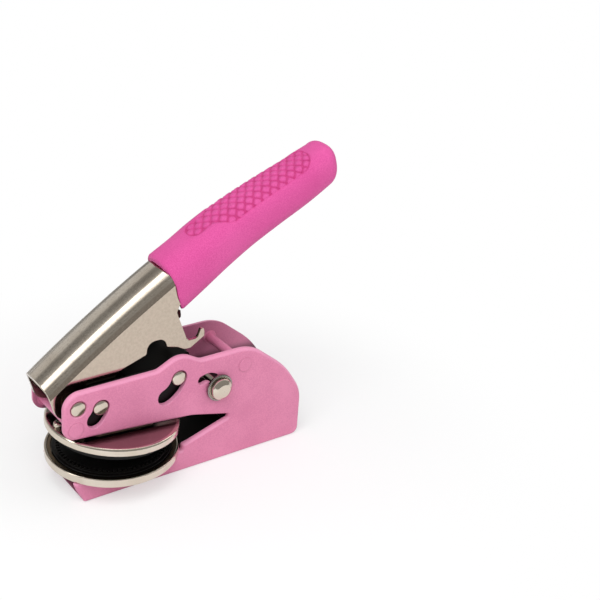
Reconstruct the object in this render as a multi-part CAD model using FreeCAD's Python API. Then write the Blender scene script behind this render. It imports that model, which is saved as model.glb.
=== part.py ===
# Hand embosser (seal press) in millimetres.
# Origin: on the table, straight under the middle of the dies.
# +X runs to the back (handle end), +Y to the far side, +Z up.
import FreeCAD, Part

import math
import os

V = FreeCAD.Vector
Y_AXIS = V(0, 1, 0)
Z_AXIS = V(0, 0, 1)

# ---------------------------------------------------------------- driving dimensions
# frame: one channel of painted sheet steel
frame_width = 26.6
frame_sheet = 2.0
frame_length = 92.0
frame_back_height = 19.7
base_front_x = -17.5
base_wall_height = 8.7
arm_front_x = -25.0
arm_top_z = 45.1
arm_nose_low_z = 27.1
arm_back_z = 44.85
back_slope_top_inset = 24.0
back_slope_foot_inset = 7.9
back_slope_foot_z = 31.9
throat_tip = (43.9, 17.8)
throat_tip_radius = 0.96
bend_radius = 1.2

# pins and their slots
pin_radius = 2.9
pin_fit = 0.05
slot_clearance = 0.3
hole_countersink = 0.35
pivot = (-19.6, 38.8)
drive_radius = 8.71
drive_angle = -12.6
drive_slot_sweep = 31.6
guide_pin = (19.6, 39.9)
guide_slot_sweep = 56.0
handle_travel = 28.0

# spacer bars that tie the two plates together
front_spacer = (-20.6, 30.8)
rear_spacer = (47.6, 37.8)
spacer_radius = 1.75
spacer_head_radius = 2.8
spacer_head_proud = 0.12

# handle: inverted channel of plated sheet, with a bowed top
handle_sheet = 1.3
handle_half_width = 8.8
handle_bend_radius = 2.45
handle_crown_radius = 46.0
handle_front_top = (-28.4, 46.4)
handle_bow_radius = 458.0
handle_front_angle = 38.0
handle_visible_length = 70.0
handle_boss_radius = 5.6
drive_boss_radius = 4.9
notch_center = (12.7, 51.4)
notch_radius = 3.4
hook_center = (27.4, 53.6)
hook_inner_radius = 2.15
hook_wall = 2.7

# grip: centre, lean, half height and half width at stations from its slanted mouth to its end
grip_stations = (
    ((21.35, 72.0), 23.5, 10.6, 9.7),
    ((29.7, 77.3), 33.0, 9.9, 9.85),
    ((38.0, 82.8), 31.6, 9.6, 9.85),
    ((48.5, 88.85), 27.6, 9.25, 9.6),
    ((60.4, 94.55), 24.8, 8.85, 9.3),
    ((73.5, 100.35), 24.2, 8.25, 9.0),
    ((85.0, 105.9), 25.0, 7.6, 8.0),
)
grip_squareness = 2.7
grip_end_length = 5.6
grip_end_lean = 34.0
grip_wall = 2.4
tang_half_width = 5.6

# press lever
lever_sheet = 1.5
lever_gap = 0.5
lever_eye_radius = 4.7
lever_top_inset = 0.8
lever_guide_hump = 7.7
lever_bottom_z = 26.0
lever_web_thickness = 1.6
lever_web_front_x = -14.0
lever_web_back_x = 14.0
press_foot_x = 0.9
press_foot_radius = 5.5
press_foot_dome = 0.8
press_foot_gap = 0.5
cross_bar_radius = 2.0
bridge_front_top = (6.0, 37.0)
bridge_knee_top = (21.0, 44.9)
bridge_back_top = (27.2, 46.0)
bridge_low_z = 35.2
bridge_sheet = 1.3
bridge_side_gap = 0.5

# pressure plate and stop stud on top of the upper cup
pressure_plate_length = 23.6
pressure_plate_gap = 0.55
pressure_plate_half_width = 10.6
pressure_plate_thickness = 0.8
stop_stud_inset = 3.25
stop_stud_radius = 2.1
stop_stud_height = 1.7

# dies and their cups
cup_radius = 24.25
cup_wall = 1.0
cup_edge_radius = 0.9
lower_cup_height = 3.45
upper_cup_height = 2.8
cup_seat_gap = 0.05
die_ring_wall = 1.1
die_ring_gap = 0.1
die_clearance = 0.45
lower_die_above_rim = 1.2
die_land_width = 1.3
die_land_height = 0.6
tick_count = 72
closed_die_gap = 0.3
closed_rim_gap = 5.0

# clip strips, hinged behind the dies
jaw_hinge = (42.0, 17.5)
jaw_travel = 4.9
strip_thickness = 1.1
strip_half_width = 9.5
strip_overlap = 12.5
strip_bend_gap = 1.2
knuckle_radius = 2.6
knuckle_half_width = 2.2
clip_pin_radius = 1.5
knuckle_gap = 0.3
strip_rivet_radius = 1.1
strip_rivet_head = 1.9
strip_rivet_head_height = 0.6
strip_rivet_inset = 2.8
strip_rivet_spacing = 5.0

# lock: a headed pin that slides round a curved slot in both plates
lock_pivot = (31.4, 32.0)
lock_radius = 4.8
lock_rest_angle = -1.0
lock_swing = 114.0
lock_slot_margin = 2.0
lock_shank_radius = 1.6
lock_head_gap = 0.3
lock_flange_radius = 5.3
lock_flange_thickness = 1.2
lock_groove_depth = 0.45
lock_cap_radius = 4.2
lock_cap_height = 2.7
lock_far_head_radius = 3.2
lock_far_head_thickness = 1.2

# return spring round the pivot pin
spring_wire_radius = 0.6
spring_coil_radius = 3.9
spring_pitch = 1.35
spring_turns = 2
spring_start_y = 0.9
spring_bar_gap = 0.3
spring_top_leg = 8.5
spring_top_leg_angle = 62.0

# ---------------------------------------------------------------- worked-out sizes
half_width = frame_width / 2
inner_half_width = half_width - frame_sheet
frame_back_x = base_front_x + frame_length
slot_half_width = pin_radius + slot_clearance
lever_inner_y = handle_half_width + lever_gap
lever_outer_y = lever_inner_y + lever_sheet
die_radius = cup_radius - cup_wall - die_ring_gap - die_ring_wall - die_clearance


def polar(center, radius, degrees):
    """Point at a radius and an angle round a centre, in the X-Z plane."""
    turn = math.radians(degrees)
    return (center[0] + radius * math.cos(turn), center[1] + radius * math.sin(turn))


def at(point, y=0.0):
    return V(point[0], y, point[1])


drive_pin = polar(pivot, drive_radius, drive_angle)
drive_closed = polar(pivot, drive_radius, drive_angle - handle_travel)
lever_shift = (drive_closed[0] - drive_pin[0], drive_closed[1] - drive_pin[1])
guide_center = polar(guide_pin, drive_radius, drive_angle + 180)
notch_reach = math.hypot(notch_center[0] - pivot[0], notch_center[1] - pivot[1])
notch_angle = math.degrees(math.atan2(notch_center[1] - pivot[1], notch_center[0] - pivot[0]))
cross_bar = polar(pivot, notch_reach, notch_angle - handle_travel)
cross_bar = (cross_bar[0] - lever_shift[0], cross_bar[1] - lever_shift[1])
lower_cup_z = base_wall_height + cup_seat_gap
lower_rim_z = lower_cup_z + lower_cup_height
lower_die_top = lower_rim_z + lower_die_above_rim
upper_rim_z = lower_rim_z + closed_rim_gap
upper_top_z = upper_rim_z + upper_cup_height
upper_die_face = lower_die_top + closed_die_gap


# ---------------------------------------------------------------- small builders
def rounded_wire(corners):
    """Closed wire in the X-Z plane through corners (x, z, radius), each rounded by its radius."""
    count = len(corners)
    legs = []
    for i, (x, z, radius) in enumerate(corners):
        here = V(x, 0, z)
        before = V(corners[i - 1][0], 0, corners[i - 1][1]) - here
        after = V(corners[(i + 1) % count][0], 0, corners[(i + 1) % count][1]) - here
        before.normalize()
        after.normalize()
        half_turn = before.getAngle(after) / 2
        if radius <= 0 or abs(half_turn - math.pi / 2) < 1e-6:
            legs.append((here, None, here))
            continue
        reach = radius / math.tan(half_turn)
        middle = before + after
        middle.normalize()
        apex = here + middle * (radius / math.sin(half_turn) - radius)
        legs.append((here + before * reach, apex, here + after * reach))
    edges = []
    for i, (start, apex, end) in enumerate(legs):
        if apex is not None:
            edges.append(Part.Arc(start, apex, end).toShape())
        following = legs[(i + 1) % count][0]
        if end.distanceToPoint(following) > 1e-4:
            edges.append(Part.LineSegment(end, following).toShape())
    return Part.Wire(Part.__sortEdges__(edges))


def plate(wire, y_from, y_to):
    """Flat piece: a wire of the X-Z plane filled and run from one Y to another."""
    face = Part.Face(wire)
    face.translate(V(0, y_from, 0))
    return face.extrude(V(0, y_to - y_from, 0))


def cross_cylinder(center, radius, y_from, y_to):
    return Part.makeCylinder(radius, y_to - y_from, at(center, y_from), Y_AXIS)


def pair(shape):
    """A piece and its mirror image on the other side of the middle plane."""
    return [shape, shape.mirror(V(0, 0, 0), Y_AXIS)]


def arc_slot(center, radius, from_angle, to_angle, half, y_from, y_to):
    """Curved slot with round ends, as a solid to cut away."""
    low, high = min(from_angle, to_angle), max(from_angle, to_angle)
    middle = (low + high) / 2
    outer = Part.Arc(at(polar(center, radius + half, low)), at(polar(center, radius + half, middle)),
                     at(polar(center, radius + half, high)))
    inner = Part.Arc(at(polar(center, radius - half, high)), at(polar(center, radius - half, middle)),
                     at(polar(center, radius - half, low)))
    end_high = polar(center, radius, high)
    end_low = polar(center, radius, low)
    cap_high = Part.Arc(at(polar(center, radius + half, high)), at(polar(end_high, half, high + 90)),
                        at(polar(center, radius - half, high)))
    cap_low = Part.Arc(at(polar(center, radius - half, low)), at(polar(end_low, half, low - 90)),
                       at(polar(center, radius + half, low)))
    wire = Part.Wire([outer.toShape(), cap_high.toShape(), inner.toShape(), cap_low.toShape()])
    return plate(wire, y_from, y_to)


def turned(profile):
    """Solid of revolution about the Z axis from corners (radius, z, rounding)."""
    wire = rounded_wire([(r, z, rounding) for r, z, rounding in profile])
    return Part.Face(wire).revolve(V(0, 0, 0), Z_AXIS, 360)


def ring(outer, inner, bottom, top):
    tube = Part.makeCylinder(outer, top - bottom, V(0, 0, bottom))
    return tube.cut(Part.makeCylinder(inner, top - bottom, V(0, 0, bottom)))


def group(shapes):
    return Part.makeCompound(shapes)


def save(name, shape):
    shape.exportStep("parts/" + name + ".step")


def open_jaw(shape):
    """Turns an upper-jaw piece from its closed place to where the spring clip holds it open."""
    shape.rotate(at(jaw_hinge), Y_AXIS, jaw_travel)
    return shape


# ---------------------------------------------------------------- frame
def frame_outline():
    bump_x = guide_pin[0]
    return rounded_wire([
        (base_front_x, 0, 0.8),
        (base_front_x - 2.7, 5.2, 12),
        (base_front_x - 3.9, base_wall_height, 0.6),
        (21.9, base_wall_height, 0.6),
        (21.9, 11.2, 0.8),
        (24.6, 11.75, 3),
        (throat_tip[0], throat_tip[1], throat_tip_radius),
        (25.5, 22.6, 25),
        (arm_front_x, arm_nose_low_z, 5),
        (arm_front_x, arm_top_z, 6.2),
        (bump_x - 8.6, arm_top_z, 5),
        (bump_x + 0.7, arm_top_z + 4.5, 8.5),
        (bump_x + 9.1, arm_back_z, 4),
        (frame_back_x - back_slope_top_inset, arm_back_z, 17),
        (frame_back_x - back_slope_foot_inset, back_slope_foot_z, 35),
        (frame_back_x, frame_back_height, 16),
        (frame_back_x, 0, 3),
    ])


def make_frame():
    channel = plate(frame_outline(), -half_width, half_width)
    low_edges = [edge for edge in channel.Edges
                 if edge.BoundBox.ZMax < 0.01 and edge.BoundBox.XLength > 20]
    channel = channel.makeFillet(bend_radius, low_edges)
    hollow = Part.makeBox(frame_length + 40, 2 * inner_half_width, arm_top_z + 20,
                          V(base_front_x - 20, -inner_half_width, frame_sheet))
    channel = channel.cut(hollow)
    through = (-half_width - 1, half_width + 1)
    cuts = [
        cross_cylinder(pivot, pin_radius + pin_fit, *through),
        cross_cylinder(front_spacer, spacer_head_radius, *through),
        cross_cylinder(rear_spacer, spacer_head_radius, *through),
        arc_slot(pivot, drive_radius, drive_angle, drive_angle - drive_slot_sweep,
                 slot_half_width, *through),
        arc_slot(guide_center, drive_radius, drive_angle, drive_angle - guide_slot_sweep,
                 slot_half_width, *through),
        arc_slot(lock_pivot, lock_radius, lock_rest_angle - lock_slot_margin,
                 lock_rest_angle + lock_swing + lock_slot_margin,
                 lock_shank_radius + slot_clearance, *through),
    ]
    for side in (-1, 1):
        sink = Part.makeCone(pin_radius + pin_fit + hole_countersink, pin_radius + pin_fit,
                             hole_countersink, at(pivot, side * half_width), Y_AXIS * -side)
        cuts.append(sink)
    for tool in cuts:
        channel = channel.cut(tool)
    return channel


def make_spacer(center):
    bar = cross_cylinder(center, spacer_radius, -inner_half_width, inner_half_width)
    for side in (-1, 1):
        head = Part.makeCylinder(spacer_head_radius, frame_sheet + spacer_head_proud,
                                 at(center, side * inner_half_width), Y_AXIS * side)
        bar = bar.fuse(head)
    return bar.removeSplitter()


def make_pin(center, half_length):
    """Plain pin with slightly rounded ends."""
    pin = cross_cylinder(center, pin_radius, -half_length, half_length)
    ends = [edge for edge in pin.Edges if edge.BoundBox.YLength < 0.01]
    return pin.makeFillet(0.5, ends)


# ---------------------------------------------------------------- return spring
def make_spring():
    """Double coil on the pivot pin: outer legs rest behind the front bar, inner ones push up."""
    away = (front_spacer[0] - pivot[0], front_spacer[1] - pivot[1])
    leg_offset = spacer_radius + spring_wire_radius + spring_bar_gap
    bar_angle = math.atan2(away[1], away[0])
    lean = math.acos((spring_coil_radius - leg_offset) / math.hypot(*away))
    end_angle = math.degrees(bar_angle + lean)
    start_angle = spring_top_leg_angle
    sweep = 360 * spring_turns + start_angle - end_angle
    height = spring_pitch * sweep / 360

    coil = Part.makeHelix(spring_pitch, height, spring_coil_radius)
    section = Part.Wire(Part.makeCircle(spring_wire_radius, V(spring_coil_radius, 0, 0), Y_AXIS))
    coil = Part.Wire(coil.Edges).makePipeShell([section], True, True)
    turn = math.radians(start_angle)
    cos_start, sin_start = math.cos(turn), math.sin(turn)
    placed = FreeCAD.Rotation(V(cos_start, 0, sin_start), V(sin_start, 0, -cos_start),
                              V(0, 1, 0), "ZXY")
    coil.Placement = FreeCAD.Placement(at(pivot, spring_start_y), placed)

    def leg(angle, y, length):
        """Straight wire leaving the coil along its tangent, back or forward by the sign."""
        radians = math.radians(angle)
        foot = at(polar(pivot, spring_coil_radius, angle), y)
        along = V(math.sin(radians), 0, -math.cos(radians)) * (1 if length > 0 else -1)
        return Part.makeCylinder(spring_wire_radius, abs(length), foot, along), foot + along * abs(length)

    top_leg, top_end = leg(start_angle, spring_start_y, -spring_top_leg)
    bar_reach = math.hypot(*away) * math.sin(lean) + spring_wire_radius
    bar_leg, bar_end = leg(end_angle, spring_start_y + height, bar_reach)
    half = coil.fuse([top_leg, bar_leg, Part.makeSphere(spring_wire_radius, bar_end)])
    other = half.mirror(V(0, 0, 0), Y_AXIS)
    bridge = Part.makeCylinder(spring_wire_radius, 2 * spring_start_y,
                               V(top_end.x, -spring_start_y, top_end.z), Y_AXIS)
    corners = [Part.makeSphere(spring_wire_radius, V(top_end.x, y, top_end.z))
               for y in (-spring_start_y, spring_start_y)]
    return half.fuse([other, bridge] + corners)


# ---------------------------------------------------------------- handle
def bow_center():
    normal = math.radians(handle_front_angle - 90)
    return (handle_front_top[0] + handle_bow_radius * math.cos(normal),
            handle_front_top[1] + handle_bow_radius * math.sin(normal))


def channel_section(inset, depth):
    """Cross-section corners of the handle as (across, height): crowned top, round bends, walls."""
    crown = handle_crown_radius - inset
    bend = max(handle_bend_radius - inset, 0.1)
    side = handle_half_width - inset
    bend_y = side - bend
    bend_z = -handle_crown_radius + math.sqrt((crown - bend) ** 2 - bend_y ** 2)
    lean = math.asin(bend_y / (crown - bend))
    join = (crown * math.sin(lean), crown * math.cos(lean) - handle_crown_radius)
    middle = (math.pi / 2 + lean) / 2
    knee = (bend_y + bend * math.sin(middle), bend_z + bend * math.cos(middle))
    return [(-side, -depth), (-side, bend_z), (-knee[0], knee[1]), (-join[0], join[1]),
            (0, -inset), join, knee, (side, bend_z), (side, -depth)]


def bowed_channel(inset, depth, turn_from, turn_to):
    """Solid with the handle's cross-section, turned along the bow of its top."""
    center = bow_center()
    up = math.radians(handle_front_angle + 90)
    lift = V(math.cos(up), 0, math.sin(up))
    c = [at(handle_front_top) + lift * height + V(0, across, 0)
         for across, height in channel_section(inset, depth)]
    outline = Part.Wire([
        Part.LineSegment(c[0], c[1]).toShape(), Part.Arc(c[1], c[2], c[3]).toShape(),
        Part.Arc(c[3], c[4], c[5]).toShape(), Part.Arc(c[5], c[6], c[7]).toShape(),
        Part.LineSegment(c[7], c[8]).toShape(), Part.LineSegment(c[8], c[0]).toShape()])
    face = Part.Face(outline)
    face.rotate(at(center), Y_AXIS, turn_from)
    return face.revolve(at(center), Y_AXIS, turn_to - turn_from)


def handle_wall_outline():
    """Side view of the handle's wall: front edge, eyes, clearance notch, hook and rear edge."""
    x_notch, z_notch = notch_center
    x_hook, z_hook = hook_center
    outer = hook_inner_radius + hook_wall
    return rounded_wire([
        (-29.5, 47.5, 0),
        (-27.0, 39.8, 6),
        (pivot[0] - handle_boss_radius, pivot[1] - handle_boss_radius, 5.4),
        (pivot[0] + 2.2, pivot[1] - handle_boss_radius, 2.2),
        (pivot[0] + 4.0, pivot[1] - 3.9, 0.8),
        (drive_pin[0] - 2.6, drive_pin[1] - drive_boss_radius, 2.6),
        (drive_pin[0] + 3.0, drive_pin[1] - drive_boss_radius, 4.2),
        (-3.0, 38.4, 5),
        (-5.5, 45.4, 5),
        (x_notch - notch_radius - 0.6, z_notch - 1.2, 1.0),
        (x_notch - notch_radius, z_notch + notch_radius, 3.3),
        (x_notch + notch_radius, z_notch + notch_radius, 3.3),
        (x_notch + notch_radius + 0.9, z_notch - 0.2, 0.5),
        (x_hook - 6.2, z_hook - 3.6, 2.0),
        (x_hook - 3.4, z_hook - outer - 0.4, 2.5),
        (x_hook + 2.4, z_hook - outer - 0.4, 4.2),
        (x_hook + outer + 0.2, z_hook - 2.2, 4.0),
        (x_hook + outer - 0.3, z_hook + 1.3, 0.6),
        (x_hook + outer - 1.5, z_hook + 1.4, 0.5),
        (x_hook + hook_inner_radius, z_hook - hook_inner_radius, 1.9),
        (x_hook - hook_inner_radius, z_hook - hook_inner_radius, 1.2),
        (20.6, 63.8, 1.5),
        (21.6, 66.4, 1.0),
        (26.5, 69.6, 0),
        (26.5, 96.0, 0),
        (-29.5, 96.0, 0),
    ])


def grip_section(center, lean, half_height, half_wide, scale=1.0):
    """Squared oval wire across the grip, its plane leaning back from upright."""
    along = V(math.cos(math.radians(lean)), 0, math.sin(math.radians(lean)))
    up = V(-along.z, 0, along.x)
    points = []
    for i in range(28):
        turn = 2 * math.pi * i / 28
        reach = scale * (abs(math.cos(turn) / half_height) ** grip_squareness
                         + abs(math.sin(turn) / half_wide) ** grip_squareness) ** (-1 / grip_squareness)
        points.append(at(center) + up * (reach * math.cos(turn))
                      + V(0, reach * math.sin(turn), 0))
    curve = Part.BSplineCurve()
    curve.interpolate(points, PeriodicFlag=True)
    return Part.Wire(curve.toShape())


def tang_solid(wall):
    """Narrow end of the channel inside the grip, as a run of rectangular sections."""
    sections = []
    for center, lean, half_height, _ in grip_stations:
        along = V(math.cos(math.radians(lean)), 0, math.sin(math.radians(lean)))
        up = V(-along.z, 0, along.x)
        high = half_height - grip_wall - wall
        low = -0.42 * half_height
        side = tang_half_width - wall
        corners = [at(center) + up * height + V(0, across, 0)
                   for across, height in ((-side, low), (-side, high), (side, high), (side, low))]
        sections.append(Part.makePolygon(corners + corners[:1]))
    return Part.makeLoft(sections, True, True)


def make_handle_channel():
    sweep = math.degrees(handle_visible_length / handle_bow_radius)
    outer = bowed_channel(0, 30, -1, sweep)
    profile = plate(handle_wall_outline(), -half_width, half_width)
    shell = outer.cut(bowed_channel(handle_sheet, 31, -2, sweep + 1)).common(profile)
    for center in (pivot, drive_pin):
        shell = shell.cut(cross_cylinder(center, pin_radius + pin_fit, -half_width, half_width))
    tang = tang_solid(0).cut(tang_solid(handle_sheet))
    mouth = outer.common(profile).cut(tang_solid(handle_sheet))
    return shell.fuse(tang.cut(mouth)).removeSplitter(), outer.common(profile)


def make_grip(socket):
    """Moulded grip with a slanted mouth at the front and a rounded end."""
    body = Part.makeLoft([grip_section(*station) for station in grip_stations], True)
    last, lean, half_height, half_wide = grip_stations[-1]
    rings = [grip_section(last, lean, half_height, half_wide)]
    for turn in (24, 44, 60, 72, 82):
        radians = math.radians(turn)
        center = polar(last, grip_end_length * math.sin(radians) ** 0.8, grip_end_lean)
        rings.append(grip_section(center, lean, half_height, half_wide, math.cos(radians) ** 0.8))
    end = Part.makeLoft(rings, True)
    return body.fuse(end).cut(socket).cut(tang_solid(0))


# ---------------------------------------------------------------- press lever
def lever_outline():
    """Side view of a cheek: it follows the top of the plates and is cut back round the pivot."""
    front_x = drive_pin[0] - lever_eye_radius
    hump = lever_guide_hump
    top = arm_top_z - lever_top_inset
    guide_x, guide_z = guide_pin
    return rounded_wire([
        (front_x, lever_bottom_z, 2.0),
        (front_x, drive_pin[1] + 2.6, 3.5),
        (front_x + 1.5, drive_pin[1] + 4.2, 1.5),
        (front_x + 1.5, top, 1.0),
        (guide_x - hump - 0.9, top, 5),
        (guide_x + 0.6, top + 4.3, 7.5),
        (guide_x + hump, top - 0.3, 2.5),
        (guide_x + hump, guide_z - 4.0, 5),
        (lever_web_back_x + 1.5, lever_bottom_z, 5),
    ])


def make_lever():
    cheek = plate(lever_outline(), lever_inner_y, lever_outer_y)
    cheek = cheek.cut(cross_cylinder(drive_pin, pin_radius + pin_fit, 0, half_width))
    web = Part.makeBox(lever_web_back_x - lever_web_front_x, 2 * lever_inner_y,
                       lever_web_thickness, V(lever_web_front_x, -lever_inner_y, lever_bottom_z))
    near, far = pair(cheek)
    return near.fuse([far, web]).removeSplitter()


def make_press_foot():
    """Domed foot under the lever's web, straight over the middle of the pressure plate."""
    bottom = rest_cup_top + pressure_plate_thickness + press_foot_gap
    height = lever_bottom_z - bottom
    rise = press_foot_dome
    ball = (press_foot_radius ** 2 + rise ** 2) / (2 * rise)
    drum = Part.makeCylinder(press_foot_radius, height, V(0, 0, bottom))
    foot = drum.common(Part.makeSphere(ball, V(0, 0, bottom + ball)))
    foot.translate(V(press_foot_x, 0, 0))
    return foot


def make_lever_bridge():
    """Inverted channel on the cross bar, filling the space between the handle's walls."""
    side = handle_half_width - handle_sheet - bridge_side_gap

    def outline(drop, low):
        front_x, front_z = bridge_front_top
        knee_x, knee_z = bridge_knee_top
        back_x, back_z = bridge_back_top
        return rounded_wire([
            (front_x, low, 0), (front_x, front_z - drop, 1.0), (knee_x, knee_z - drop, 8.0),
            (back_x, back_z - drop, 1.0), (back_x, back_z - 6.5, 2.0), (knee_x - 1.0, low, 2.0)])

    bridge = plate(outline(0, bridge_low_z), -side, side)
    hollow = plate(outline(bridge_sheet, bridge_low_z - 3), -side + bridge_sheet, side - bridge_sheet)
    end = Part.makeBox(40, 2 * (side - bridge_sheet), bridge_back_top[1] - bridge_sheet - bridge_low_z,
                       V(cross_bar[0], bridge_sheet - side, bridge_low_z - 3))
    front = Part.makeBox(20, 2 * (side - bridge_sheet), bridge_front_top[1] - bridge_sheet,
                         V(bridge_front_top[0] - 10, bridge_sheet - side, 0))
    bridge = bridge.cut(hollow.fuse([end, front]))
    return bridge.cut(cross_cylinder(cross_bar, cross_bar_radius, -half_width, half_width))


def make_guide_pins():
    stub = cross_cylinder(guide_pin, pin_radius, lever_outer_y, half_width)
    rim = [edge for edge in stub.Edges if edge.BoundBox.YMin > half_width - 0.01]
    return group(pair(stub.makeFillet(0.5, rim)))


# ---------------------------------------------------------------- dies and cups
def make_lower_cup():
    low, high = lower_cup_z, lower_rim_z
    cup = turned([(0, low, 0), (cup_radius, low, cup_edge_radius), (cup_radius, high, 0.35),
                  (cup_radius - cup_wall, high, 0.35), (cup_radius - cup_wall, low + cup_wall, 0),
                  (0, low + cup_wall, 0)])
    return drill(cup)


def make_upper_cup():
    low, high = upper_rim_z, upper_top_z
    cup = turned([(0, high - cup_wall, 0), (cup_radius - cup_wall, high - cup_wall, 0),
                  (cup_radius - cup_wall, low, 0.35), (cup_radius, low, 0.35),
                  (cup_radius, high, cup_edge_radius), (0, high, 0)])
    return open_jaw(drill(cup))


def make_pressure_plate():
    back_x = cup_radius - strip_overlap - pressure_plate_gap
    wide = pressure_plate_half_width
    slab = Part.makeBox(pressure_plate_length, 2 * wide, pressure_plate_thickness,
                        V(back_x - pressure_plate_length, -wide, upper_top_z))
    corners = [edge for edge in slab.Edges if edge.BoundBox.ZLength > 0.9 * pressure_plate_thickness]
    return open_jaw(slab.makeFillet(2.0, corners))


def make_stop_stud():
    """Low round stud at the front of the upper cup."""
    stud = Part.makeCylinder(stop_stud_radius, stop_stud_height,
                             V(stop_stud_inset - cup_radius, 0, upper_top_z))
    rim = [edge for edge in stud.Edges if edge.BoundBox.ZMin > upper_top_z + stop_stud_height - 0.01]
    return open_jaw(stud.makeFillet(0.6, rim))


def rivet_places():
    first = cup_radius - strip_overlap + strip_rivet_inset
    return (first, first + strip_rivet_spacing)


def drill(shape):
    """Rivet holes through the whole height of a cup or strip."""
    for x in rivet_places():
        shape = shape.cut(Part.makeCylinder(strip_rivet_radius, 60, V(x, 0, 0)))
    return shape


def die_ticks(bottom, top):
    """Raised ring of short radial bars."""
    outer = die_radius - 1.4
    inner = outer - die_land_width
    width = math.pi * outer / tick_count
    bar = Part.makeBox(outer - inner, width, top - bottom, V(inner, -width / 2, bottom))
    bars = []
    for i in range(tick_count):
        copy = bar.copy()
        copy.rotate(V(0, 0, 0), Z_AXIS, 360.0 * i / tick_count)
        bars.append(copy)
    return bars


def make_lower_die():
    floor = lower_cup_z + cup_wall
    shoulder = lower_rim_z
    land = lower_die_top - die_land_height
    body = turned([(0, floor, 0), (die_radius, floor, 0), (die_radius, shoulder, 0.3),
                   (die_radius - 1.4, shoulder, 0.2), (die_radius - 1.4, land, 0.1), (0, land, 0)])
    return body.fuse(die_ticks(land - 0.2, lower_die_top))


def make_upper_die():
    roof = upper_top_z - cup_wall
    body = turned([(0, roof, 0), (die_radius, roof, 0), (die_radius, upper_rim_z - 0.9, 0.3),
                   (die_radius - 1.0, upper_rim_z - 0.9, 0.2), (die_radius - 1.0, upper_die_face, 0.3),
                   (0, upper_die_face, 0)])
    return open_jaw(body)


def make_die_rings():
    outer = cup_radius - cup_wall - die_ring_gap
    inner = outer - die_ring_wall
    lower = ring(outer, inner, lower_cup_z + cup_wall, lower_rim_z - 0.3)
    upper = ring(outer, inner, upper_rim_z + 0.3, upper_top_z - cup_wall)
    return lower, open_jaw(upper)


# ---------------------------------------------------------------- clip strips
def strip_side(seat_z, away):
    """Side view of a strip from the cup to the knuckle; away is -1 below the cup, +1 above."""
    hinge_x, hinge_z = jaw_hinge
    bend_x = cup_radius + strip_bend_gap
    outer_z = seat_z + away * strip_thickness
    run = hinge_x - bend_x
    rise = (hinge_z - outer_z) * -away
    distance = math.hypot(run, rise)
    slope = math.atan2(rise, run) - math.asin(knuckle_radius / distance)
    touch = (hinge_x + knuckle_radius * math.sin(slope),
             hinge_z + away * knuckle_radius * math.cos(slope))
    inner_end = (touch[0] - strip_thickness * math.sin(slope),
                 touch[1] - away * strip_thickness * math.cos(slope))
    inner_bend_x = bend_x - strip_thickness * math.tan(slope / 2)
    start_x = cup_radius - strip_overlap
    return rounded_wire([
        (start_x, outer_z, 0), (bend_x, outer_z, 3), (touch[0], touch[1], 0),
        (inner_end[0], inner_end[1], 0), (inner_bend_x, seat_z, 3), (start_x, seat_z, 0),
    ])


def knuckles(spans):
    barrels = [cross_cylinder(jaw_hinge, knuckle_radius, low, high) for low, high in spans]
    return barrels


def make_strip(seat_z, away, spans, cleared):
    """Strip with its knuckle barrels, cut clear of the other strip's barrels."""
    strip = drill(plate(strip_side(seat_z, away), -strip_half_width, strip_half_width))
    for low, high in cleared:
        strip = strip.cut(cross_cylinder(jaw_hinge, knuckle_radius + knuckle_gap,
                                         low - knuckle_gap, high + knuckle_gap))
    strip = strip.fuse(knuckles(spans))
    strip = strip.cut(cross_cylinder(jaw_hinge, clip_pin_radius + pin_fit, -half_width, half_width))
    return strip.removeSplitter()


def make_rivets(seat_z, away):
    """Rivets through a strip and its cup, headed outside and flush inside."""
    rivets = []
    for x in rivet_places():
        length = strip_thickness + cup_wall
        inside = V(x, 0, seat_z - away * cup_wall)
        shank = Part.makeCylinder(strip_rivet_radius, length, inside, Z_AXIS * away)
        head = Part.makeCylinder(strip_rivet_head, strip_rivet_head_height,
                                 V(x, 0, seat_z + away * strip_thickness), Z_AXIS * away)
        rim = [edge for edge in head.Edges
               if abs(edge.BoundBox.ZMax - (head.BoundBox.ZMax if away > 0 else head.BoundBox.ZMin)) < 0.01
               and edge.BoundBox.ZLength < 0.01]
        rivets.append(shank.fuse(head.makeFillet(0.35, rim)))
    return group(rivets)


# ---------------------------------------------------------------- lock
def make_lock():
    place = polar(lock_pivot, lock_radius, lock_rest_angle)
    near = half_width + lock_head_gap
    shank = cross_cylinder(place, lock_shank_radius, -near, near)
    flange, rim, cap = lock_flange_radius, lock_flange_thickness, lock_cap_radius
    knob = turned([(0, 0, 0), (flange, 0, 0.3), (flange, rim, 0.45),
                   (flange - 0.7, rim, 0.2), (flange - 0.9, rim - lock_groove_depth, 0.1),
                   (cap, rim - lock_groove_depth, 0.1), (cap, rim + lock_cap_height * 0.5, 0.9),
                   (cap * 0.6, rim + lock_cap_height * 0.95, 1.6), (0, rim + lock_cap_height, 0)])
    knob.rotate(V(0, 0, 0), V(1, 0, 0), 90)
    knob.translate(at(place, -near))
    head = cross_cylinder(place, lock_far_head_radius, near, near + lock_far_head_thickness)
    rim_edge = [edge for edge in head.Edges
                if edge.BoundBox.YMin > near + lock_far_head_thickness - 0.01]
    return shank, knob, head.makeFillet(0.4, rim_edge)


# ---------------------------------------------------------------- all pieces
cup_rise = jaw_hinge[0] * math.sin(math.radians(jaw_travel))
rest_cup_top = (jaw_hinge[1] + (upper_top_z - jaw_hinge[1]) * math.cos(math.radians(jaw_travel))
                + cup_rise)

os.makedirs("parts", exist_ok=True)
save("frame", make_frame())
save("front_spacer", make_spacer(front_spacer))
save("rear_spacer", make_spacer(rear_spacer))
save("pivot_pin", make_pin(pivot, half_width))
save("return_spring", make_spring())

channel, socket = make_handle_channel()
save("handle_channel", channel)
save("handle_grip", make_grip(socket))
save("drive_pin", make_pin(drive_pin, half_width))

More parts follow.
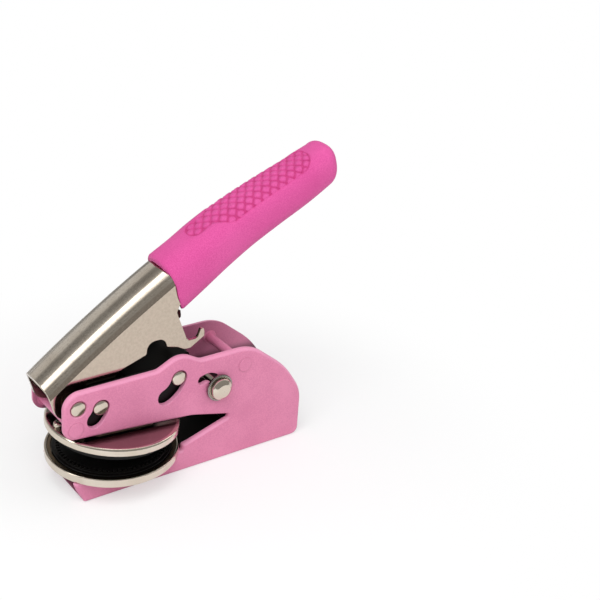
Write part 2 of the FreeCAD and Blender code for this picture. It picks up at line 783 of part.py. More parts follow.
save("press_lever", make_lever())
save("press_foot", make_press_foot())
save("lever_bridge", make_lever_bridge())
save("guide_pins", make_guide_pins())
save("cross_bar", cross_cylinder(cross_bar, cross_bar_radius, -lever_inner_y, lever_inner_y))

save("lower_cup", make_lower_cup())
save("lower_die", make_lower_die())
save("upper_cup", make_upper_cup())
save("upper_die", make_upper_die())
save("pressure_plate", make_pressure_plate())
save("stop_stud", make_stop_stud())
lower_ring, upper_ring = make_die_rings()
save("lower_die_ring", lower_ring)
save("upper_die_ring", upper_ring)

inner_span = [(-knuckle_half_width, knuckle_half_width)]
side_start = knuckle_half_width + knuckle_gap
side_spans = [(-strip_half_width, -side_start), (side_start, strip_half_width)]
save("lower_strip", make_strip(lower_cup_z, -1, inner_span, side_spans))
save("upper_strip", open_jaw(make_strip(upper_top_z, 1, side_spans, inner_span)))
save("lower_rivets", make_rivets(lower_cup_z, -1))
save("upper_rivets", open_jaw(make_rivets(upper_top_z, 1)))
save("clip_pin", cross_cylinder(jaw_hinge, clip_pin_radius, -strip_half_width, strip_half_width))

shank, knob, far_head = make_lock()
save("lock_shank", shank)
save("lock_knob", knob)
save("lock_far_head", far_head)
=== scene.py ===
import math

import bpy
import numpy as np
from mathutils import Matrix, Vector


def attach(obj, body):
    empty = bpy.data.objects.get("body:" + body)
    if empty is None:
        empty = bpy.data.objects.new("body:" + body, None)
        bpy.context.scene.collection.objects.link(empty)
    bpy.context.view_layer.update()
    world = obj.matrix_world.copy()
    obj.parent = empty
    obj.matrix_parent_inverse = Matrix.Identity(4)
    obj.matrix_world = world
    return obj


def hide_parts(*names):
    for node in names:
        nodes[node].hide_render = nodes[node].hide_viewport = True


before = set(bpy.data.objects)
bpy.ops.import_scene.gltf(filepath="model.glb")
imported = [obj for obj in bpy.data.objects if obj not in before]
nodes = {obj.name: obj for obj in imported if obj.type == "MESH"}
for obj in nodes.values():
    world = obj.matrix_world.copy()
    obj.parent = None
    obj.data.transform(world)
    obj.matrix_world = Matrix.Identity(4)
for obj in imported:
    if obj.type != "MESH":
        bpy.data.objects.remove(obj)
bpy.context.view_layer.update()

MM = 0.001


# ------------------------------------------------------------------ shader sums
class Value:
    """A number or colour socket that can be used in ordinary sums."""

    def __init__(self, finish, socket):
        self.finish = finish
        self.socket = socket

    def maths(self, operation, *values, clamp=False):
        inputs = {i: v for i, v in enumerate(values)}
        return self.finish.node("ShaderNodeMath", inputs, operation=operation, use_clamp=clamp)

    def __add__(self, other):
        return self.maths("ADD", self, other)

    def __sub__(self, other):
        return self.maths("SUBTRACT", self, other)

    def __rsub__(self, other):
        return self.maths("SUBTRACT", other, self)

    def __mul__(self, other):
        return self.maths("MULTIPLY", self, other)

    def __truediv__(self, other):
        return self.maths("DIVIDE", self, other)

    def __abs__(self):
        return self.maths("ABSOLUTE", self)

    __radd__ = __add__
    __rmul__ = __mul__

    def step_from(self, low, high):
        """0 below low, 1 above high and smooth between."""
        return self.finish.node(
            "ShaderNodeMapRange", {"Value": self, "From Min": low, "From Max": high},
            interpolation_type="SMOOTHSTEP", clamp=True)

    def clamped(self):
        return self.maths("ADD", self, 0.0, clamp=True)


class Finish:
    """A material, or the world, made of nodes."""

    def __init__(self, name, owner=None):
        self.data = owner or bpy.data.materials.new(name)
        self.data.use_nodes = True
        self.tree = self.data.node_tree
        self.tree.nodes.clear()

    def node(self, kind, inputs=None, output=0, **settings):
        """Adds a node: its settings first, then the values or links of its sockets."""
        new = self.tree.nodes.new(kind)
        for key, value in settings.items():
            if key == "stops":
                ramp = new.color_ramp
                while len(ramp.elements) < len(value):
                    ramp.elements.new(0.5)
                for element, (place, colour) in zip(ramp.elements, value):
                    element.position = place
                    element.color = (*colour, 1.0)
            else:
                setattr(new, key, value)
        for key, value in (inputs or {}).items():
            if isinstance(value, Value):
                self.tree.links.new(value.socket, new.inputs[key])
            else:
                socket = new.inputs[key]
                colour = socket.type == "RGBA" and len(value) == 3
                socket.default_value = (*value, 1.0) if colour else value
        return Value(self, new.outputs[output]) if new.outputs else None

    def place(self):
        """Position in the object's own frame, in millimetres."""
        at = self.node("ShaderNodeTexCoord", output="Object")
        return self.node("ShaderNodeVectorMath", {0: at, 1: (1000.0, 1000.0, 1000.0)},
                         operation="MULTIPLY")

    def part(self, vector, axis):
        """One of a vector's three numbers."""
        return self.node("ShaderNodeSeparateXYZ", {0: vector}, output=axis)

    def parts(self, vector):
        return [self.part(vector, axis) for axis in "XYZ"]

    def length(self, first, second):
        """Length of the diagonal over two distances."""
        return self.node("ShaderNodeMath", {0: first * first + second * second}, operation="SQRT")

    def stretched(self, vector, scale, turn):
        """Place stretched along its axes after a turn, for streaks."""
        return self.node("ShaderNodeMapping", {"Vector": vector, "Scale": scale, "Rotation": turn})

    def noise(self, vector, scale, detail=2.0, rough=0.5):
        return self.node("ShaderNodeTexNoise", {"Vector": vector, "Scale": scale, "Detail": detail,
                                                "Roughness": rough})

    def mix(self, factor, first, second):
        """Colour mix."""
        return self.node("ShaderNodeMix", {0: factor, 6: first, 7: second}, output=2,
                         data_type="RGBA")

    def bump(self, height, depth, normal=None):
        """Normal bent by a height, over another normal where there is one."""
        inputs = {"Height": height, "Distance": depth}
        if normal is not None:
            inputs["Normal"] = normal
        return self.node("ShaderNodeBump", inputs)

    def soft_edges(self, radius):
        """Normal with every sharp edge rounded off."""
        return self.node("ShaderNodeBevel", {"Radius": radius}, samples=6)

    def surface(self, **sockets):
        """Ends the material in one shader, with its sockets named as they are but for spaces."""
        names = {key: key.replace("_", " ") for key in sockets}
        shader = self.node("ShaderNodeBsdfPrincipled",
                           {names[key]: value for key, value in sockets.items()})
        self.node("ShaderNodeOutputMaterial", {"Surface": shader})
        return self.data


# ------------------------------------------------------------------ paint and rubber
PAINT_DEEP, PAINT_PALE = (0.605, 0.176, 0.315), (0.690, 0.220, 0.372)
# pale pink of the painted highlight on upward-facing edges
PAINT_HIGHLIGHT = (0.860, 0.420, 0.600)
# near-black painted shade for the frame's inside
PAINT_SHADE = (0.020, 0.004, 0.008)
RUBBER_DEEP, RUBBER_PALE = (0.590, 0.066, 0.268), (0.685, 0.098, 0.332)
# deep pink of the painted shade in the grip's grooves, panel rim and mouth
RUBBER_SHADE = (0.470, 0.028, 0.160)

# where the frame's inside gets painted shade, in millimetres: between the plates, from the floor
# plate's upper side, behind the dies and above them, and more thinly towards the back
PLATES_INSIDE = (11.32, 11.45)
FLOOR_PLATE_TOP = (1.9, 2.3)
PRESS_BACK, PRESS_BACK_LOW, PRESS_LOW = (30.0, 18.0), (20.0, 24.0), (33.0, 28.0)
FRAME_BACK = (62.0, 42.0)
SHADE_IN_PRESS, SHADE_AT_BACK = 0.8, 0.32

# what gets no painted shade there: the far plate's front corner, and the spacers but for their
# near ends
CORNER_FRONT, CORNER_FAR, CORNER_LOW = (-18.5, -22.5), (0.0, 1.0), (24.0, 26.0)
CORNER_UNSHADED = 0.75
SPACER_END = (-8.8, -8.0)


def front_corner(x, y, z):
    """Share of the far plate's front corner, which is left without painted shade."""
    corner = x.step_from(*CORNER_FRONT) * y.step_from(*CORNER_FAR) * z.step_from(*CORNER_LOW)
    return corner * CORNER_UNSHADED


def spacer_middle(x, y, z):
    """Share of a spacer that lies clear of the dark gap beside the near plate, and gets no painted
    shade.
    """
    return y.step_from(*SPACER_END)


def satin_paint(name, unshaded):
    """Pink powder coat: faint orange peel, slightly uneven depth, and a painted highlight on upper
    edges.

    It has near-black painted shade inside the press, but for the share that the second argument
    leaves unshaded.
    """
    f = Finish(name)
    place = f.place()
    x, y, z = f.parts(place)
    peel = f.noise(place, 1.7, 3.0, 0.55)
    cloud = f.noise(place, 0.07, 2.0)
    speck = f.noise(place, 2.6, 1.0)
    tone = (cloud * 0.5 + speck * 0.5).step_from(0.36, 0.64)
    colour = f.mix(tone, PAINT_DEEP, PAINT_PALE)
    inside = 1.0 - abs(y).step_from(*PLATES_INSIDE)
    press = x.step_from(*PRESS_BACK) * z.step_from(*PRESS_BACK_LOW) + z.step_from(*PRESS_LOW)
    press = press.clamped() * z.step_from(*FLOOR_PLATE_TOP)
    inside_shade = press * SHADE_IN_PRESS + x.step_from(*FRAME_BACK) * SHADE_AT_BACK
    # painted shade: the inside of the press, and more thinly the back, is darkened towards near
    # black
    colour = f.mix(inside * inside_shade * (1.0 - unshaded(x, y, z)), colour, PAINT_SHADE)
    # painted highlight: edges and faces turned upwards are paled, on the plates' outside only
    upward_highlight = f.part(f.soft_edges(0.5 * MM), "Z").step_from(0.04, 0.45)
    colour = f.mix(upward_highlight * (1.0 - inside) * 0.34, colour, PAINT_HIGHLIGHT)
    normal = f.bump(peel, 0.018 * MM, f.soft_edges(0.4 * MM))
    return f.surface(Base_Color=colour, Roughness=0.42 + 0.06 * peel, Normal=normal,
                     Coat_Weight=0.10, Coat_Roughness=0.25)


def grip_rubber():
    """Soft pink rubber with a very fine moulded grain, and painted shade in the panel's grooves
    and rim and inside the mouth.
    """
    f = Finish("grip_rubber")
    place = f.place()
    grain = f.noise(place, 6.0, 2.0, 0.6)
    cloud = f.noise(place, 0.05, 1.0)
    speck = f.noise(place, 2.8, 1.0)
    tone = (cloud * 0.4 + speck * 0.6).step_from(0.34, 0.66)
    colour = f.mix(tone, RUBBER_DEEP, RUBBER_PALE)
    groove = f.node("ShaderNodeAttribute", output="Fac", attribute_name="groove")
    # painted shade in the grooves, the panel's rim and inside the mouth
    colour = f.mix(groove * 0.75, colour, RUBBER_SHADE)
    return f.surface(Base_Color=colour, Roughness=0.50 + 0.10 * grain, Specular_IOR_Level=0.32,
                     Normal=f.bump(grain, 0.02 * MM))


# ------------------------------------------------------------------ metal
NICKEL_DEEP, NICKEL_PALE = (0.640, 0.565, 0.470), (0.720, 0.650, 0.555)
NICKEL_WORN = (0.40, 0.34, 0.27)
STREAK = (0.33, 0.28, 0.23)
# darker tones painted on the handle's walls as shade, with a random mottle
WALL_SHADE_DEEP, WALL_SHADE_PALE = (0.510, 0.430, 0.350), (0.565, 0.480, 0.392)
# near-black painted shade for the inside of the handle channel
HANDLE_INSIDE_SHADE = (0.085, 0.060, 0.045)
# painted shade for the upper cup's floor, standing in for a dimmer reflection
LID_SHADE = (0.34, 0.29, 0.25)
# grey painted shade for the lock knob's rim behind its cap
KNOB_RIM_SHADE = (0.30, 0.285, 0.26)
BRONZE = (0.26, 0.19, 0.125)
SPRING_STEEL = (0.30, 0.27, 0.24)
BAR_STEEL = (0.30, 0.26, 0.22)

# handle's bowed top: lean, the crest's height over the origin along it, and how fast it bows
HANDLE_LEAN = math.radians(36.0)
HANDLE_MIDDLE, HANDLE_CREST, HANDLE_BOW = 16.0, 54.5, 0.00095
HANDLE_ARCH, SHOULDER_START, SHOULDER_END, SHOULDER_SLOPE = 0.0225, 0.9, 4.1, 0.445

# half widths where the handle's streaked top ends, where its wall starts and where its inside
# does, and how far under the crest the inside starts
TOP_EDGE, WALL_EDGE, INSIDE_EDGE, INSIDE_TOP = (8.7, 8.2), (8.5, 8.75), (7.62, 7.54), (1.4, 1.9)

# radius of a cross pin's rounded face, centres (x, z) of the pins and the lock knob, and rims by
# their distance from a centre
PIN_DOME = 5.8
PIVOT_PIN, DRIVE_PIN, GUIDE_PIN = (-19.6, 38.8), (-11.1, 36.9), (19.6, 39.9)
LOCK_KNOB, LOCK_CAP_EDGE = (36.2, 31.9), (4.3, 4.5)
LID_RIM = (23.2, 22.8)


def dome(centre):
    """Rounded face of a cross pin, as the height of a bump."""
    def height(f, place):
        away_x, away_z = f.part(place, "X") - centre[0], f.part(place, "Z") - centre[1]
        return (away_x * away_x + away_z * away_z) * (-0.5 / PIN_DOME)
    return height


def under_crest(f, place):
    """How far a place lies under the bowed line of the handle's top."""
    x, _, z = f.parts(place)
    cos, sin = math.cos(HANDLE_LEAN), math.sin(HANDLE_LEAN)
    along = x * cos + z * sin - HANDLE_MIDDLE
    return HANDLE_CREST - along * along * HANDLE_BOW - (z * cos - x * sin)


def handle_arch(f, place):
    """Arch of the handle's top and the soft shoulder over its wall, as the height of a bump."""
    across, under = f.part(place, "Y"), under_crest(f, place)
    shoulder = under.maths("MAXIMUM", SHOULDER_END - under, 0.0)
    shoulder = under.maths("MINIMUM", shoulder, SHOULDER_END - SHOULDER_START)
    return across * across * -HANDLE_ARCH - shoulder * SHOULDER_SLOPE


def handle_tint(f, place, drawn, colour):
    """Streaks along the handle's top, a darker, warmer, evener tone painted on its walls as shade,
    and painted shade inside.
    """
    across = abs(f.part(place, "Y"))
    top = across.step_from(*TOP_EDGE)
    colour = f.mix(drawn.step_from(0.48, 0.62) * top * 0.35, colour, STREAK)
    # painted shade: the walls are set darker than the top, mottled at random
    mottle = f.noise(place, 0.9, 3.0, 0.6).step_from(0.35, 0.65)
    wall = f.mix(mottle, WALL_SHADE_DEEP, WALL_SHADE_PALE)
    colour = f.mix(across.step_from(*WALL_EDGE), colour, wall)
    # painted shade inside the channel, under its crest
    inside = across.step_from(*INSIDE_EDGE) * under_crest(f, place).step_from(*INSIDE_TOP)
    return f.mix(inside * 0.85, colour, HANDLE_INSIDE_SHADE)


def lid_shade(f, place, drawn, colour):
    """Painted shade on the upper cup's floor inside its bright rim, standing in for a dimmer
    reflection.
    """
    reach = f.length(f.part(place, "X"), f.part(place, "Y"))
    return f.mix(reach.step_from(*LID_RIM), colour, LID_SHADE)


def knob_rim_shading(f, place, drawn, colour):
    """Greyer painted shade on the rim behind the lock knob's cap."""
    reach = f.length(f.part(place, "X") - LOCK_KNOB[0], f.part(place, "Z") - LOCK_KNOB[1])
    return f.mix(reach.step_from(*LOCK_CAP_EDGE), colour, KNOB_RIM_SHADE)


def nickel(name, roughness=0.13, length_axis=(1.0, 1.0, 1.0), turn=0.0, form=None, tint=None):
    """Bright nickel plate, faintly drawn along one direction; form bends it, tint recolours it and
    may paint shade on it.
    """
    f = Finish(name)
    place = f.place()
    drawn = f.noise(f.stretched(place, length_axis, (0.0, turn, 0.0)), 2.2, 3.0, 0.6)
    cloud = f.noise(place, 0.12, 2.0)
    wear = f.noise(place, 1.1, 4.0, 0.65).step_from(0.62, 0.80)
    colour = f.mix(cloud.step_from(0.3, 0.7), NICKEL_DEEP, NICKEL_PALE)
    colour = f.mix(wear * 0.35, colour, NICKEL_WORN)
    if tint:
        colour = tint(f, place, drawn, colour)
    normal = f.soft_edges(0.2 * MM)
    if form:
        normal = f.bump(form(f, place), 1.0 * MM, normal)
    normal = f.bump(drawn, 0.004 * MM, normal)
    return f.surface(Base_Color=colour, Metallic=1.0, Roughness=roughness + 0.07 * drawn,
                     Normal=normal)


def plain_metal(name, colour):
    """Unplated metal with a fine grain."""
    f = Finish(name)
    grain = f.noise(f.place(), 3.0)
    colour = f.mix(grain, colour, tuple(0.7 * part for part in colour))
    return f.surface(Base_Color=colour, Metallic=1.0, Roughness=0.3 + 0.1 * grain,
                     Normal=f.soft_edges(0.12 * MM))


def blackened(name, shade, roughness, shine):
    """Blackened steel, a little brown where its grain is paler."""
    f = Finish(name)
    grain = f.noise(f.place(), 2.5, 3.0, 0.6)
    colour = f.mix(grain.step_from(0.3, 0.75), (shade, shade * 0.85, shade * 0.80),
                   (shade * 1.9, shade * 1.55, shade * 1.4))
    normal = f.bump(grain, 0.01 * MM, f.soft_edges(0.15 * MM))
    return f.surface(Base_Color=colour, Roughness=roughness + 0.1 * grain, Normal=normal,
                     Specular_IOR_Level=shine)


def dress(material, *names):
    """Gives CAD nodes a finish."""
    for name in names:
        slots = nodes[name].material_slots
        if not slots:
            nodes[name].data.materials.append(material)
        for item in slots:
            item.material = material


dress(satin_paint("satin_paint", front_corner), "frame")
dress(satin_paint("spacer_paint", spacer_middle), "front_spacer", "rear_spacer")
dress(nickel("handle_nickel", 0.09, (0.02, 1.0, 1.0), HANDLE_LEAN, handle_arch, handle_tint),
      "handle_channel")
dress(nickel("cup_nickel"), "lower_cup")
dress(nickel("lid_nickel", tint=lid_shade), "upper_cup")
dress(nickel("plate_nickel", 0.35), "pressure_plate")
dress(nickel("turned_nickel"), "press_foot", "stop_stud", "lock_shank", "lock_far_head")
dress(nickel("knob_nickel", tint=knob_rim_shading), "lock_knob")
dress(nickel("pivot_nickel", form=dome(PIVOT_PIN)), "pivot_pin")
dress(nickel("drive_nickel", form=dome(DRIVE_PIN)), "drive_pin")
dress(nickel("guide_nickel", form=dome(GUIDE_PIN)), "guide_pins")
dress(plain_metal("bronzed_ring", BRONZE), "lower_die_ring", "upper_die_ring")
dress(plain_metal("spring_wire", SPRING_STEEL), "return_spring")
dress(plain_metal("bar_steel", BAR_STEEL), "cross_bar")
dress(blackened("black_steel", 0.0022, 0.34, 0.16), "press_lever", "lever_bridge",
      "lower_strip", "upper_strip", "lower_rivets", "upper_rivets", "clip_pin")
dress(blackened("black_die", 0.0020, 0.30, 0.20), "lower_die", "upper_die")


# ------------------------------------------------------------------ grip
# centre (x, z), lean in degrees, half height and half width from the slanted mouth to the end,
# in millimetres as all sizes of the grip
GRIP_STATIONS = [
    ((21.35, 72.0), 23.5, 10.6, 9.7),
    ((29.7, 77.3), 33.0, 9.9, 9.85),
    ((38.0, 82.8), 31.6, 9.6, 9.85),
    ((48.5, 88.85), 27.6, 9.25, 9.6),
    ((60.4, 94.55), 24.8, 8.85, 9.3),
    ((73.5, 100.35), 24.2, 8.25, 9.0),
    ((85.0, 105.9), 25.0, 7.6, 8.0),
]
GRIP_SQUARENESS = 2.7
GRIP_TRIM = 0.02
STEPS_BETWEEN_STATIONS = 200
RINGS, RING_POINTS, END_RINGS = 520, 400, 40

# rounded end: it leans over, and its underside is cut back over the last stretch
GRIP_END_LENGTH, GRIP_END_ROUND = 5.6, 0.8
GRIP_END_LEAN = math.radians(34.0)
GRIP_END_CUT, GRIP_END_CUT_REACH, GRIP_END_CUT_POWER = 2.4, 13.0, 1.6

# mouth's edge: share of the half turn from the top to the bottom, and place along the grip,
# which fades out over MOUTH_REACH; MOUTH_SPARE is how far it may pass the first station
MOUTH_SPARE, MOUTH_REACH = 3.0, 12.0
MOUTH_EDGE = [(0.0, -0.4), (0.18, -0.4), (0.30, -0.5), (0.42, -0.6), (0.55, -1.4), (0.68, -1.7),
              (0.80, -1.2), (0.90, -0.3), (1.0, -0.2)]
MOUTH_LIP, MOUTH_LIP_REACH = 0.5, 0.9

# its inside: distance from the edge, depth under the outer skin and painted shade of each ring. It
# is snug on the steel at the top and hollow by MOUTH_HOLLOW at the sides, in radians from the top
MOUTH_INSIDE = [(9.0, 2.4, 1.0), (0.0, 2.4, 1.0), (-0.35, 2.2, 0.6), (-0.40, 1.7, 0.0),
                (-0.20, 1.0, 0.0)]
MOUTH_HOLLOW = 1.3
SNUG_END, HOLLOW_START = 0.54, 1.44

# chequered panel over the top: its reach along the grip, its half girth and its cells
PANEL_FRONT, PANEL_NECK, PANEL_WIDE, PANEL_FADE, PANEL_BACK = 15.4, 23.0, 30.5, 60.4, 68.2
PANEL_NECK_HALF, PANEL_WIDE_HALF, PANEL_BACK_HALF = 4.2, 9.2, 7.9
PANEL_FRONT_ROUND = 3.2
CELL_ORIGIN, CELL_LENGTH, CELL_GIRTH, CELL_WAVE = 36.95, 3.70, 5.20, 0.035

# how deep the panel, its grooves and its rim are pressed in, and how its cells stand up again
PANEL_SUNK, PANEL_EASE = 0.30, 0.5
GROOVE_DEPTH, GROOVE_HALF = 0.42, 0.42
RIM_DEPTH, RIM_INSET, RIM_HALF = 0.26, 0.15, 0.34
CELL_FALL, CELL_FALL_LIMIT = 0.13, 1.3
CROSSING_LIMIT = 1.15

# painted shade in its grooves at the crest and what it gains down the sides, and in its rim along
# the sides and what it gains at the ends, each with the stretch over which that happens
GROOVE_SHADE, GROOVE_GAIN, GROOVE_REACH = 0.55, 0.45, 4.5
PANEL_RIM_SHADE, RIM_GAIN, RIM_REACH = 0.25, 0.70, 4.0


def smooth(first, second, third, fourth, t):
    """Catmull-Rom blend of four rows at t from 0 to 1."""
    return 0.5 * (2 * second + (third - first) * t
                  + (2 * first - 5 * second + 4 * third - fourth) * t ** 2
                  + (3 * second - first - 3 * third + fourth) * t ** 3)


def eased(value):
    """Smooth step from 0 to 1."""
    value = np.clip(value, 0.0, 1.0)
    return value * value * (3.0 - 2.0 * value)


def grip_spine():
    """Finely spaced rows of x, z, lean, half height and half width, and the distance of each.

    The first row carries on straight past the mouth's middle, for the parts of its edge that reach
    further down the handle.
    """
    rows = np.array([[*center, lean, high, wide] for center, lean, high, wide in GRIP_STATIONS])
    rows = np.vstack([2 * rows[0] - rows[1], rows, 2 * rows[-1] - rows[-2]])
    fine = [smooth(*rows[i:i + 4], t) for i in range(len(rows) - 3)
            for t in np.linspace(0, 1, STEPS_BETWEEN_STATIONS, endpoint=False)]
    fine = np.array(fine + [rows[-2]])
    steps = np.linalg.norm(np.diff(fine[:, :2], axis=0), axis=1)
    reach = np.concatenate([[0.0], np.cumsum(steps)])
    near = STEPS_BETWEEN_STATIONS // 5
    ahead = (fine[near] - fine[0]) / reach[near]
    ahead[2:] = 0.0
    before = fine[0] - MOUTH_SPARE * ahead
    return np.vstack([before, fine]), np.concatenate([[-MOUTH_SPARE], reach])


def from_top(angles):
    """The shorter way round from the top, in radians."""
    return np.abs(np.angle(np.exp(1j * angles)))


def mouth_edge(angles):
    """Where the mouth's edge runs at each angle from the top, along the grip."""
    laps, places = zip(*MOUTH_EDGE)
    return np.interp(from_top(angles) / math.pi, laps, places)


def panel_half(s):
    """Half girth of the chequered panel at distances s along the grip."""
    half = PANEL_NECK_HALF + (PANEL_WIDE_HALF - PANEL_NECK_HALF) * eased(
        (s - PANEL_NECK) / (PANEL_WIDE - PANEL_NECK))
    half -= (PANEL_WIDE_HALF - PANEL_BACK_HALF) * np.clip(
        (s - PANEL_WIDE) / (PANEL_FADE - PANEL_WIDE), 0.0, 1.0)
    front = np.clip((PANEL_FRONT + PANEL_FRONT_ROUND - s) / PANEL_FRONT_ROUND, 0.0, 1.0)
    back = np.clip((s - PANEL_FADE) / (PANEL_BACK - PANEL_FADE), 0.0, 1.0)
    return half * np.sqrt(1.0 - front ** 2) * np.sqrt(1.0 - back ** 2)


def panel_relief(s, around):
    """How deep the panel lies below the smooth grip, and the painted shade in its grooves and rim.
    """
    half = panel_half(s)
    slope = np.gradient(half, s)
    inner = (half[:, None] - np.abs(around)) / np.sqrt(1.0 + slope ** 2)[:, None]
    outside = (s < PANEL_FRONT) | (s > PANEL_BACK)
    inner = np.where(outside[:, None], -PANEL_WIDE_HALF, inner)
    along = (s[:, None] - CELL_ORIGIN) / CELL_LENGTH
    girth = around / CELL_GIRTH
    first, second = along + girth, along - girth
    first, second = (first + CELL_WAVE * np.sin(2 * np.pi * second),
                     second + CELL_WAVE * np.sin(2 * np.pi * first))
    pitch = CELL_LENGTH * CELL_GIRTH / math.hypot(CELL_LENGTH, CELL_GIRTH)
    off_line = [np.abs(turn - np.round(turn)) for turn in (first, second)]
    lines = sum(np.exp(-(off * pitch / GROOVE_HALF) ** 2) for off in off_line)
    fall = np.minimum(sum((2 * off) ** 2 for off in off_line), CELL_FALL_LIMIT)
    inside = eased(inner / PANEL_EASE)
    net = np.clip(lines, 0.0, CROSSING_LIMIT) * inside
    rim = np.exp(-((inner - RIM_INSET) / RIM_HALF) ** 2)
    depth = (PANEL_SUNK - CELL_FALL * fall) * inside + GROOVE_DEPTH * net + RIM_DEPTH * rim
    ends = eased(np.maximum(s - PANEL_FADE, PANEL_NECK - s) / RIM_REACH)[:, None]
    groove_shade_share = (GROOVE_SHADE + GROOVE_GAIN * eased(np.abs(around) / GROOVE_REACH)) * net
    rim_shade_share = (PANEL_RIM_SHADE + RIM_GAIN * ends) * rim
    return depth, np.clip(np.maximum(groove_shade_share, rim_shade_share), 0.0, 1.0)


def build_mesh(name, verts, faces, material, smooth_shading=True):
    """A new piece with one material."""
    mesh = bpy.data.meshes.new(name)
    mesh.from_pydata([tuple(v) for v in verts], [], [tuple(f) for f in faces])
    mesh.update()
    mesh.materials.append(material)
    if smooth_shading:
        mesh.shade_smooth()
    piece = bpy.data.objects.new(name, mesh)
    bpy.context.scene.collection.objects.link(piece)
    return piece


def girth_from_top(radius, cos, sin):
    """Signed distance round each ring from its top."""
    step = np.hypot(np.diff(radius * cos, axis=1, append=(radius * cos)[:, :1]),
                    np.diff(radius * sin, axis=1, append=(radius * sin)[:, :1]))
    around = np.cumsum(step, axis=1) - step
    girth = around[:, -1:] + step[:, -1:]
    return np.where(around > girth / 2, around - girth, around)


def grip_rings(angles):
    """Rings from inside the mouth to the last station, and the painted shade at each point.

    A ring is given by the height and half width of its points over its centre, and by its centre
    and lean at each point, because the mouth's rings follow its edge.
    """
    rows, reach = grip_spine()
    cos, sin = np.cos(angles), np.sin(angles)
    total, mouth = reach[-1], np.array(MOUTH_INSIDE)
    skin = np.linspace(0.0, total, RINGS)
    distance = np.concatenate([mouth[:, 0], skin])[:, None]
    inset = np.concatenate([mouth[:, 1], np.zeros(RINGS)])[:, None]
    first = len(mouth)
    snug = np.clip((HOLLOW_START - from_top(angles)) / (HOLLOW_START - SNUG_END), 0.0, 1.0)
    along = distance + mouth_edge(angles) * np.clip(1.0 - distance / MOUTH_REACH, 0.0, 1.0) ** 2
    along[1:first] += (1.0 - snug) * MOUTH_HOLLOW
    x, z, lean, high, wide = (np.interp(along, reach, rows[:, k]) for k in range(5))
    power = GRIP_SQUARENESS
    radius = ((np.abs(cos) / high) ** power + (np.abs(sin) / wide) ** power) ** (-1 / power)
    radius = radius - GRIP_TRIM
    depth, dark = np.zeros(radius.shape), np.zeros(radius.shape)
    # painted shade inside the mouth, fullest where it stands hollow at the sides
    dark[:first] = np.maximum(mouth[:, 2:], 1.0 - snug)
    depth[first:], dark[first:] = panel_relief(skin, girth_from_top(radius, cos, sin)[first:])
    lip = MOUTH_LIP * np.clip(1.0 - distance / MOUTH_LIP_REACH, 0.0, 1.0) ** 2 * (inset == 0.0)
    radius = radius - depth - lip - inset
    pull = end_cut(cos) * eased(1.0 - (total - distance) / GRIP_END_CUT_REACH)
    x, z = x - pull * math.cos(GRIP_END_LEAN), z - pull * math.sin(GRIP_END_LEAN)
    return radius * cos, radius * sin, x, z, np.radians(lean), dark


def end_cut(cos):
    """How far the end is cut back at each angle, from nothing at the top."""
    return GRIP_END_CUT * ((1.0 - cos) / 2.0) ** GRIP_END_CUT_POWER


def round_end(angles, up, side, x, z, lean):
    """Rings that close over the end of the last ring, and the point at its tip."""
    turn = np.linspace(0, np.pi / 2, END_RINGS + 1)[1:-1]
    out = GRIP_END_LENGTH * np.sin(turn) ** GRIP_END_ROUND
    scale = np.cos(turn)[:, None] ** GRIP_END_ROUND
    reach = out[:, None] - end_cut(np.cos(angles)) * scale
    over_x = x + reach * math.cos(GRIP_END_LEAN) - scale * up * math.sin(lean)
    over_z = z + reach * math.sin(GRIP_END_LEAN) + scale * up * math.cos(lean)
    tip = [x + GRIP_END_LENGTH * math.cos(GRIP_END_LEAN), 0.0,
           z + GRIP_END_LENGTH * math.sin(GRIP_END_LEAN)]
    return np.stack([over_x, scale * side, over_z], axis=2), tip


def make_grip():
    """Grip skin as rings from the slanted mouth to the rounded end, with the panel pressed in."""
    angles = np.linspace(0, 2 * np.pi, RING_POINTS, endpoint=False)
    up, side, x, z, lean, dark = grip_rings(angles)
    rings = np.stack([x - up * np.sin(lean), side, z + up * np.cos(lean)], axis=2)
    end, tip = round_end(angles, up[-1], side[-1], x[-1, 0], z[-1, 0], lean[-1, 0])
    verts = np.concatenate([rings.reshape(-1, 3), end.reshape(-1, 3), [tip]]) * MM
    starts = np.arange(len(rings) + len(end) - 1)[:, None] * RING_POINTS
    here = np.arange(RING_POINTS)[None, :]
    there = (here + 1) % RING_POINTS
    quads = np.stack([starts + here, starts + there, starts + RING_POINTS + there,
                      starts + RING_POINTS + here], axis=2).reshape(-1, 4)
    tip_index = len(verts) - 1
    last = tip_index - RING_POINTS
    cap = [(last + j, last + (j + 1) % RING_POINTS, tip_index) for j in range(RING_POINTS)]
    grip_skin = build_mesh("grip_skin", verts, quads.tolist() + cap, grip_rubber())
    # painted shade of grooves, rim and mouth, kept on each point for the rubber's colour
    groove = np.zeros(len(verts), dtype=np.float32)
    groove[:dark.size] = dark.ravel()
    grip_skin.data.attributes.new("groove", "FLOAT", "POINT").data.foreach_set("value", groove)
    return grip_skin


grip = make_grip()
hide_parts("handle_grip")
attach(grip, "handle")


# ------------------------------------------------------------------ floor, light and camera
WHITE = (1.0, 1.0, 1.0)
FLOOR_HALF, FLOOR_SHADE = 3.0, (0.90, 0.90, 0.90)
FLOOR_WHITE_NEAR, FLOOR_FADE = 0.48, (65.0, 150.0)
OBJECT_MIDDLE = (0.03, 0.0, 0.05)

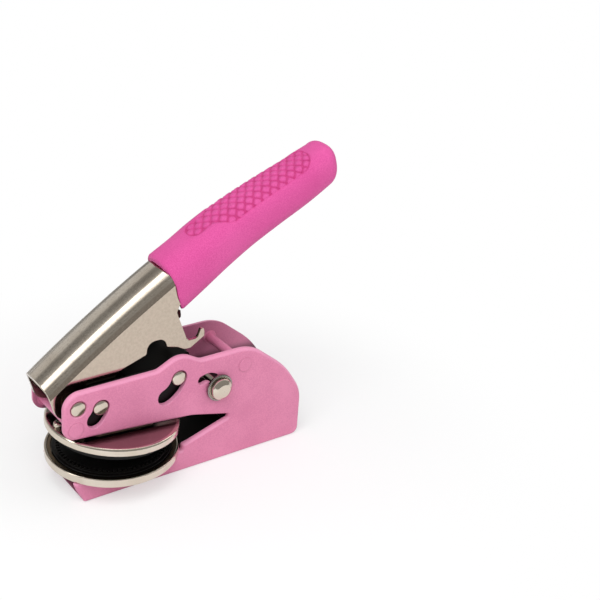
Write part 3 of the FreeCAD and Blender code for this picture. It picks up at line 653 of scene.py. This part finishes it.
# the room: its plain light, and what polished metal sees of it, from the near horizon over the
# top to the far horizon
ROOM_LIGHT = (0.50, 0.50, 0.50)
ROOM_TINT = (1.0, 0.985, 0.97)
ROOM_TONES = [(0.00, 0.31), (0.30, 0.31), (0.40, 0.46), (0.50, 0.72), (0.55, 1.5), (0.565, 3.0),
              (0.636, 3.0), (0.652, 0.62), (0.67, 0.46), (0.70, 0.36), (0.73, 0.33), (0.76, 0.255),
              (0.82, 0.25), (0.845, 0.34), (0.875, 0.60), (0.90, 0.63), (1.00, 0.63)]

CAMERA_PLACE = (-0.177148, -0.333584, 0.258944)
CAMERA_TURN = (63.6548, -3.9526, -35.7661)
CAMERA_LENS, CAMERA_SENSOR = 73.38, 36.0


def make_floor():
    """Plain pale floor that keeps a soft contact shadow and fades into the white background."""
    half = FLOOR_HALF
    verts = [(-half, -half, 0), (half, -half, 0), (half, half, 0), (-half, half, 0)]
    f = Finish("pale_floor")
    seen = f.node("ShaderNodeLightPath", output="Is Camera Ray")
    x, y, _ = f.parts(f.place())
    reach = f.length(x - OBJECT_MIDDLE[0] / MM, y)
    white = FLOOR_WHITE_NEAR + (1.0 - FLOOR_WHITE_NEAR) * reach.step_from(*FLOOR_FADE)
    share = seen * white
    diffuse = f.node("ShaderNodeBsdfDiffuse", {"Color": FLOOR_SHADE})
    glow = f.node("ShaderNodeEmission", {"Color": WHITE, "Strength": 1.0})
    both = f.node("ShaderNodeMixShader", {0: share, 1: diffuse, 2: glow})
    f.node("ShaderNodeOutputMaterial", {"Surface": both})
    floor = build_mesh("floor", verts, [(0, 1, 2, 3)], f.data, smooth_shading=False)


def room_bands(f, share):
    """The room's bright and dark bands as polished metal sees them."""
    return f.node("ShaderNodeValToRGB", {0: share},
                  stops=[(place, tuple(tone * part for part in ROOM_TINT))
                         for place, tone in ROOM_TONES])


def make_world():
    """White room with bands that only polished metal shows."""
    world = bpy.data.worlds.new("studio")
    bpy.context.scene.world = world
    f = Finish("studio", world)
    direction = f.node("ShaderNodeTexCoord", output="Generated")
    y, z = f.part(direction, "Y"), f.part(direction, "Z")
    turn = f.node("ShaderNodeMath", {0: z, 1: -1.0 * y}, operation="ARCTAN2")
    bands = room_bands(f, turn / math.pi)
    glossy = f.node("ShaderNodeLightPath", output="Is Glossy Ray")
    camera = f.node("ShaderNodeLightPath", output="Is Camera Ray")
    colour = f.mix(glossy, ROOM_LIGHT, bands)
    colour = f.mix(camera, colour, WHITE)
    back = f.node("ShaderNodeBackground", {"Color": colour, "Strength": 1.0})
    f.node("ShaderNodeOutputWorld", {"Surface": back})


def soft_box(name, place, side, power):
    """Square soft lamp aimed at the object, which polished metal doesn't mirror."""
    lamp = bpy.data.lights.new(name, "AREA")
    lamp.shape = "RECTANGLE"
    lamp.size, lamp.size_y, lamp.energy = side, side, power
    holder = bpy.data.objects.new(name, lamp)
    bpy.context.scene.collection.objects.link(holder)
    holder.location = place
    aim = Vector(OBJECT_MIDDLE) - Vector(place)
    holder.rotation_euler = aim.to_track_quat("-Z", "Y").to_euler()
    holder.visible_glossy = False


def make_camera():
    """Camera above the front of the near side."""
    data = bpy.data.cameras.new("camera")
    data.sensor_width = CAMERA_SENSOR
    data.lens = CAMERA_LENS
    data.clip_start = 0.01
    holder = bpy.data.objects.new("camera", data)
    bpy.context.scene.collection.objects.link(holder)
    holder.location = CAMERA_PLACE
    holder.rotation_euler = [math.radians(angle) for angle in CAMERA_TURN]
    bpy.context.scene.camera = holder


make_floor()
make_world()
soft_box("key", (-0.25, -0.25, 0.55), 0.45, 3.0)
soft_box("fill", (0.45, -0.40, 0.35), 0.5, 1.0)
make_camera()

view = bpy.context.scene.view_settings
view.view_transform = "Standard"
